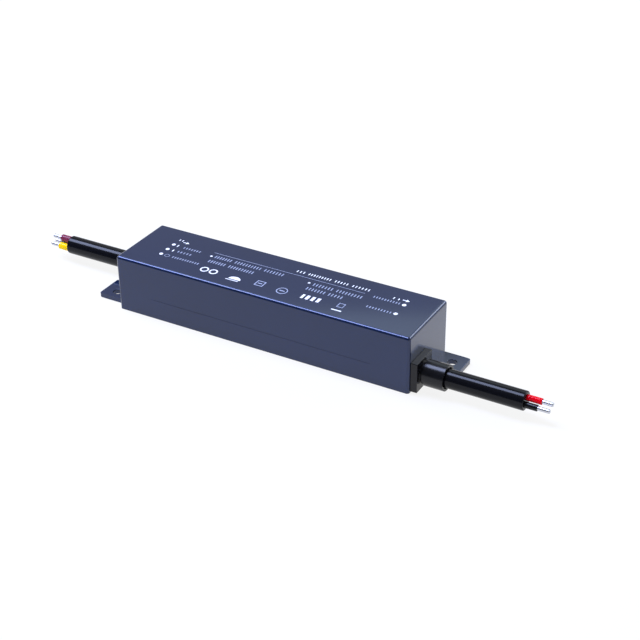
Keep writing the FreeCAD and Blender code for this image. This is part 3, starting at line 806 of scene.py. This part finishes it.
class SUPPLY_OT_glands(bpy.types.Operator):
    """Makes both cable glands: flange, neck, collar with its mouth, and barrel"""

    bl_idname = "supply.glands"
    bl_label = "Glands"

    def execute(self, context):
        # Distances from the housing's end face, and half widths, in millimetres
        stem_back, stem = -7.0, 6.0
        seal_floor, seal_recess = 1.0, 7.2
        flange_front, flange = 3.4, 7.75
        neck_front, neck = 4.8, 5.5
        barrel_front, barrel = 15.4, 6.4
        mouth_floor = 14.2
        bore_play, mouth_play = 0.1, 0.6
        edge = context.scene.supply_sizes.gland_edge / MM
        for end, way in (("output", 1), ("input", -1)):
            middle, radius, _, _ = rod(end + "_cable_jacket")
            bore = radius + bore_play
            mouth = radius + mouth_play
            profile = [
                (stem_back, bore, circle),
                (stem_back, stem, circle),
                (seal_floor, stem, circle),
                (seal_floor, seal_recess, circle),
                (0.0, seal_recess, circle),
                (0.0, flange, square),
                (flange_front, flange, square),
                (flange_front, neck, circle),
                (neck_front, neck, circle),
                (neck_front, barrel, circle),
                (barrel_front, barrel, circle),
                (barrel_front, mouth, circle),
                (mouth_floor, mouth, circle),
                (mouth_floor, bore, circle),
            ]
            shape = turned(profile, (way * end_face(), *middle), (way, 0, 0), edge)
            name = end + "_gland_moulding"
            finish_piece(name, to_mesh(name, shape), "gland_plastic", [end + "_gland"])
        return {"FINISHED"}


class SUPPLY_OT_cables(bpy.types.Operator):
    """Makes the cable stubs: jackets, insulated cores and bare solder-dipped tips"""

    bl_idname = "supply.cables"
    bl_label = "Cables"

    def execute(self, context):
        sizes = context.scene.supply_sizes
        strands = twisted_strands()
        core_play = 0.02
        for end, way in (("output", 1), ("input", -1)):
            jacket = end + "_cable_jacket"
            middle, radius, low, high = rod(jacket)
            bores = []
            for colour in CORES[end]:
                axis, core_radius, _, _ = rod("%s_core_%s" % (end, colour))
                across = way * (axis[0] - middle[0])
                bores.append((across, axis[1] - middle[1], core_radius + core_play))
                self.core(end, way, colour, sizes)
                self.conductor(end, way, colour, sizes, strands)
            profile = rounded_end(high - low, radius, sizes.jacket_edge / MM)
            start = low if way > 0 else high
            shape = bar_with_bores(profile, bores, (start, *middle), (way, 0, 0))
            name = end + "_jacket_tube"
            finish_piece(name, to_mesh(name, shape), "cable_jacket", [jacket])
        return {"FINISHED"}

    def core(self, end, way, colour, sizes):
        """One core's insulation: a tube with rounded ends."""
        node = "%s_core_%s" % (end, colour)
        axis, radius, low, high = rod(node)
        start = low if way > 0 else high
        conductor_play = 0.02
        bore = CONDUCTOR_RADIUS + conductor_play
        profile = [
            (0.0, bore, circle), (0.0, radius, circle),
            (high - low, radius, circle), (high - low, bore, circle),
        ]
        shape = turned(profile, (start, *axis), (way, 0, 0), sizes.core_edge / MM)
        name = node + "_insulation"
        finish_piece(name, to_mesh(name, shape), "core_" + colour, [node])

    def conductor(self, end, way, colour, sizes, strands):
        """One conductor: a rod with a rounded, twisted tip, and its upright terminal."""
        node = "%s_conductor_%s" % (end, colour)
        axis, _, core_low, core_high = rod("%s_core_%s" % (end, colour))
        low, high = (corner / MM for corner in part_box(node))
        # The terminal is square, and the strands begin a little inside the insulation, come
        # in over a short run and fade where the tip rounds off to the smooth radius
        terminal_half = 0.5
        covered, fade, smooth = 0.6, 0.3, 0.7
        radius = CONDUCTOR_RADIUS
        if way > 0:
            tip, terminal, core_end = high.x, low.x + terminal_half, core_high
        else:
            tip, terminal, core_end = low.x, high.x - terminal_half, core_low
        length = abs(tip - terminal)
        bare_from = abs(core_end - terminal) - covered
        edge = sizes.tip_edge / MM
        steps = 48
        run = length - edge - bare_from
        profile = [(0.0, radius)]
        profile += [(bare_from + run * k / steps, radius) for k in range(steps)]
        profile += rounded_end(length, radius, edge, steps=6)[1:]
        shape = bmesh.new()
        bare = shape.verts.layers.float.new("bare")
        loops = [(x, circle(r)) for x, r in profile]
        rings = rings_of(shape, loops, (terminal, *axis), (way, 0, 0))
        for ring, (x, r) in zip(rings, profile):
            come_in = min(1.0, max(0.0, x - bare_from) / fade)
            fade_out = max(0.0, (r - smooth) / (radius - smooth))
            for vert in ring:
                vert[bare] = come_in * fade_out
        for first, second in zip(rings, rings[1:]):
            band(shape, first, second)
        shape.faces.new(rings[0])
        pole = shape.verts.new((tip, *axis))
        last = rings[-1]
        for k, vert in enumerate(last):
            shape.faces.new((last[k - 1], vert, pole))
        width = 2 * terminal_half
        pin = bmesh.ops.create_cube(shape, size=1.0)["verts"]
        bmesh.ops.scale(shape, vec=(width, width, high.z - low.z), verts=pin)
        place = (terminal, axis[0], (low.z + high.z) / 2)
        bmesh.ops.translate(shape, vec=place, verts=pin)
        bmesh.ops.recalc_face_normals(shape, faces=shape.faces)
        mesh = grown(node + "_strands", to_mesh(node, shape), strands, {
            "Strands": sizes.strands, "Relief": sizes.strand_relief,
            "Lay": sizes.strand_lay, "Axis": (0.0, axis[0] * MM, axis[1] * MM),
            "Material": finish_of("tinned_copper"),
        })
        finish_piece(node + "_strands", mesh, "tinned_copper", [node], sharp_deg=50.0)


class SUPPLY_OT_screws(bpy.types.Operator):
    """Makes the four countersunk screws of the base plate"""

    bl_idname = "supply.screws"
    bl_label = "Base plate screws"

    def execute(self, context):
        # Heights above the plate's outer face, and radii, in millimetres
        tip_height, tip = 7.0, 0.6
        shank_height, shank = 6.4, 1.25
        cone_height = 1.1
        rim_height, head, head_face = 0.12, 2.2, 2.12
        # Depth, and length and half width of an arm, down the cross recess
        recess = ((0.0, 1.05, 0.3), (0.35, 0.95, 0.26), (0.7, 0.6, 0.2))
        side_seat_x = 60.0

        shape = bmesh.new()
        count = 48
        loops = [
            (tip_height, circle(tip, count)),
            (shank_height, circle(shank, count)),
            (cone_height, circle(shank, count)),
            (rim_height, circle(head, count)),
            (0.0, circle(head_face, count)),
        ]
        loops += [(depth, plus(arm, half, count)) for depth, arm, half in recess]
        rings = rings_of(shape, loops, (0, 0, 0), (0, 0, 1))
        for first, second in zip(rings, rings[1:]):
            band(shape, first, second)
        shape.faces.new(rings[0])
        shape.faces.new(rings[-1])
        bmesh.ops.recalc_face_normals(shape, faces=shape.faces)
        screw = bpy.data.objects.new("screw", to_mesh("screw", shape))

        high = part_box("base_plate_screws")[1]
        corner = Vector((high.x - head * MM, high.y - head * MM, 0.0))
        side = Vector((side_seat_x * MM, -corner.y, 0.0))
        seats = bpy.data.meshes.new("seats")
        seats.from_pydata([corner, side, -corner, -side], [], [])
        name = "base_plate_screw_set"
        mesh = grown(name, seats, shapes_on_points(), {
            "Shape": screw, "Size": (1.0, 1.0, 1.0), "Material": finish_of("screw_steel"),
        })
        bpy.data.objects.remove(screw)
        finish_piece(name, mesh, "screw_steel", ["base_plate_screws"])
        return {"FINISHED"}


class SUPPLY_OT_carried(bpy.types.Operator):
    """Gives each CAD piece that stays its own finish"""

    bl_idname = "supply.carried"
    bl_label = "Carried-over pieces"

    def execute(self, context):
        for name, node in NODES.items():
            if node.hide_render:
                continue
            if not node.material_slots:
                raise RuntimeError("no material slot on " + name)
            for slot in node.material_slots:
                slot.material = finish_of(SLOTS[name])
        return {"FINISHED"}


class SUPPLY_OT_stage(bpy.types.Operator):
    """Sets the floor, the lamps, the room and the camera"""

    bl_idname = "supply.stage"
    bl_label = "Stage"

    def execute(self, context):
        scene = context.scene
        # The floor's half width and its gap below the object, in millimetres
        floor_half, floor_gap = 6000.0, 0.2
        shape = bmesh.new()
        bmesh.ops.create_grid(shape, x_segments=1, y_segments=1, size=floor_half)
        bmesh.ops.translate(shape, vec=(0, 0, -floor_gap), verts=shape.verts)
        floor = bpy.data.objects.new("floor", to_mesh("floor", shape))
        scene.collection.objects.link(floor)
        floor.data.materials.append(self.card())
        scene.world = self.room()

        for name, place, along, size, power, tint in LAMPS:
            data = bpy.data.lights.new(name, "AREA")
            data.shape = "RECTANGLE"
            data.size, data.size_y = size
            data.energy = power
            data.color = tint
            lamp = bpy.data.objects.new(name, data)
            away = Vector(place).normalized()
            along = Vector(along)
            along = (along - away * along.dot(away)).normalized()
            turn = Matrix((along, away.cross(along), away)).transposed().to_4x4()
            lamp.matrix_world = Matrix.Translation(place) @ turn
            scene.collection.objects.link(lamp)

        data = bpy.data.cameras.new("camera")
        data.lens = 81.2
        data.sensor_width = 36.0
        data.clip_start = 0.01
        camera = bpy.data.objects.new("camera", data)
        place = (0.32405, -0.51790, 0.37227)
        right = (0.86853, 0.49551, -0.01143)
        up = (-0.24663, 0.45206, 0.85721)
        back = (0.42993, -0.74169, 0.51484)
        turn = Matrix((right, up, back)).transposed().to_4x4()
        camera.matrix_world = Matrix.Translation(place) @ turn
        scene.collection.objects.link(camera)
        scene.camera = camera
        scene.view_settings.view_transform = "Standard"
        return {"FINISHED"}

    def seen(self, tree):
        """One where the eye, a mirror or glass looks, nought where light only bounces."""
        path = add(tree, "ShaderNodeLightPath").outputs
        seen = path["Is Camera Ray"]
        for kind in ("Is Glossy Ray", "Is Transmission Ray"):
            seen = add(tree, "ShaderNodeMath", links={0: seen, 1: path[kind]},
                       operation="MAXIMUM").outputs[0]
        return seen

    def card(self):
        """Matt white card, lit through, so that it reads white round a soft shadow."""
        made = bpy.data.materials.new("matt_white_card")
        tree = empty_tree(made)
        card = add(tree, "ShaderNodeBsdfDiffuse", {"Color": linear("F4F4F4")})
        glow = add(tree, "ShaderNodeEmission", {"Color": linear("FFFFFF"), "Strength": 1.0})
        # The rest is card lit by the lamps, which keeps the shadow
        glow_share = 0.86
        share = add(tree, "ShaderNodeMath", {1: glow_share}, {0: self.seen(tree)},
                    operation="MULTIPLY").outputs[0]
        mixed = add(tree, "ShaderNodeMixShader", links={
            0: share, 1: card.outputs[0], 2: glow.outputs[0],
        })
        add(tree, "ShaderNodeOutputMaterial", links={"Surface": mixed.outputs[0]})
        return made

    def room(self):
        """A white studio whose walls are pale behind the object and dark before it."""
        palest_way = (0.35, 0.85, 0.40)
        # How near to that way a direction is where the walls are darkest and palest
        dark_at, pale_at = -0.6, 0.75
        dark, pale, soft_light, plain_white = 0.10, 0.48, 0.3, 1.0

        world = bpy.data.worlds.new("studio")
        tree = empty_tree(world)
        path = add(tree, "ShaderNodeLightPath").outputs
        way = add(tree, "ShaderNodeTexCoord").outputs["Generated"]
        rear = add(tree, "ShaderNodeVectorMath", {1: palest_way}, {0: way},
                   operation="DOT_PRODUCT").outputs["Value"]
        wall = add(tree, "ShaderNodeMapRange", {
            "From Min": dark_at, "From Max": pale_at, "To Min": dark, "To Max": pale,
        }, {"Value": rear}).outputs["Result"]
        white = {"Color": linear("FFFFFF")}
        soft = add(tree, "ShaderNodeBackground", {**white, "Strength": soft_light})
        walls = add(tree, "ShaderNodeBackground", white, {"Strength": wall})
        plain = add(tree, "ShaderNodeBackground", {**white, "Strength": plain_white})
        shown = add(tree, "ShaderNodeMixShader", links={
            0: self.seen(tree), 1: soft.outputs[0], 2: walls.outputs[0],
        })
        shown = add(tree, "ShaderNodeMixShader", links={
            0: path["Is Camera Ray"], 1: shown.outputs[0], 2: plain.outputs[0],
        })
        add(tree, "ShaderNodeOutputWorld", links={"Surface": shown.outputs[0]})
        return world


STEPS = (
    SUPPLY_OT_housing,
    SUPPLY_OT_print,
    SUPPLY_OT_glands,
    SUPPLY_OT_cables,
    SUPPLY_OT_screws,
    SUPPLY_OT_carried,
    SUPPLY_OT_stage,
)


class SUPPLY_PT_pieces(bpy.types.Panel):
    """Lists the settings and a button for each group of pieces"""

    bl_idname = "SUPPLY_PT_pieces"
    bl_label = "Power supply"
    bl_space_type = "VIEW_3D"
    bl_region_type = "UI"
    bl_category = "Power supply"

    def draw(self, context):
        for settings in (context.scene.supply_sizes, context.scene.supply_colours):
            for name in settings.__annotations__:
                self.layout.prop(settings, name)
        for step in STEPS:
            self.layout.operator(step.bl_idname)


CLASSES = (SupplySizes, SupplyColours, *STEPS, SUPPLY_PT_pieces)


def register():
    for kind in CLASSES:
        bpy.utils.register_class(kind)
    bpy.types.Scene.supply_sizes = bpy.props.PointerProperty(type=SupplySizes)
    bpy.types.Scene.supply_colours = bpy.props.PointerProperty(type=SupplyColours)


def unregister():
    del bpy.types.Scene.supply_colours
    del bpy.types.Scene.supply_sizes
    for kind in reversed(CLASSES):
        bpy.utils.unregister_class(kind)


def main():
    """Builds every piece and the stage."""
    register()
    bpy.ops.supply.housing()
    bpy.ops.supply.print()
    bpy.ops.supply.glands()
    bpy.ops.supply.cables()
    bpy.ops.supply.screws()
    bpy.ops.supply.carried()
    bpy.ops.supply.stage()


if __name__ == "__main__":
    main()
